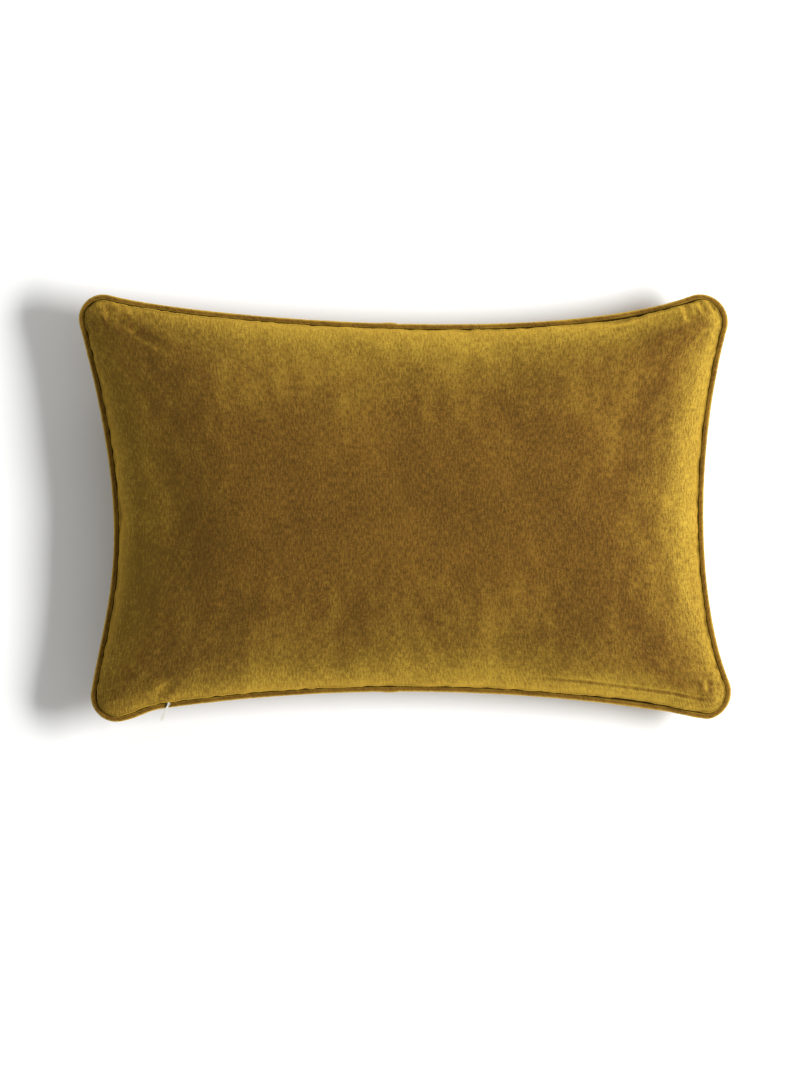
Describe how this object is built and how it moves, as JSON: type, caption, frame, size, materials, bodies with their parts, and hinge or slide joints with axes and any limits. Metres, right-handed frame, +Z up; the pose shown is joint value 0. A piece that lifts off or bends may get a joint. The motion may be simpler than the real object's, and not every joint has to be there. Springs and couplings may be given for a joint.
{
  "type": "throw pillow",
  "caption": "Rectangular velvet throw pillow with self-piped edges, a concealed zip in one long seam and a filled removable insert.",
  "frame": {"origin": "middle of the box's resting face, under the crown", "axes": "+X along the zip seam, +Y from the zip seam to the opposite long seam, +Z up out of the front panel"},
  "size_m": [0.6064, 0.3972, 0.1343],
  "materials": {
    "velvet": "matt mustard cotton velvet",
    "cotton_cord": "twisted cotton",
    "thread": "polyester thread",
    "casing_cotton": "plain cotton",
    "fibre": "loose polyester fibre",
    "zip_tape": "woven polyester tape",
    "nylon_coil": "nylon",
    "stop_metal": "satin",
    "lacquered_metal": "white lacquer"
  },
  "bodies": {
    "cushion": {"front_panel": "velvet", "back_panel": "velvet", "piping_cover": "velvet", "piping_cord": "cotton_cord", "overlock_edging": "thread", "insert_casing_front": "casing_cotton", "insert_casing_back": "casing_cotton", "insert_filling": "fibre", "zip_tape_lower": "zip_tape", "zip_tape_upper": "zip_tape", "zip_coil_lower": "nylon_coil", "zip_coil_upper": "nylon_coil", "zip_top_stop_lower": "stop_metal", "zip_top_stop_upper": "stop_metal", "zip_bottom_stop": "stop_metal"},
    "zip_slider": {"zip_slider": "lacquered_metal"},
    "zip_pull": {"zip_pull": "lacquered_metal"}
  },
  "joints": [
    {"name": "zip_slide", "type": "hinge", "parent": "cushion", "child": "zip_slider", "pos_m": [-0.0005, -1.78621, 0.06], "axis": [0, 0, -1], "range_deg": [0, 16.45]},
    {"name": "pull_swing", "type": "hinge", "parent": "zip_slider", "child": "zip_pull", "pos_m": [-0.21965, -0.182, 0.06], "axis": [0, 0, 1], "range_deg": [-46, 104]}
  ]
}
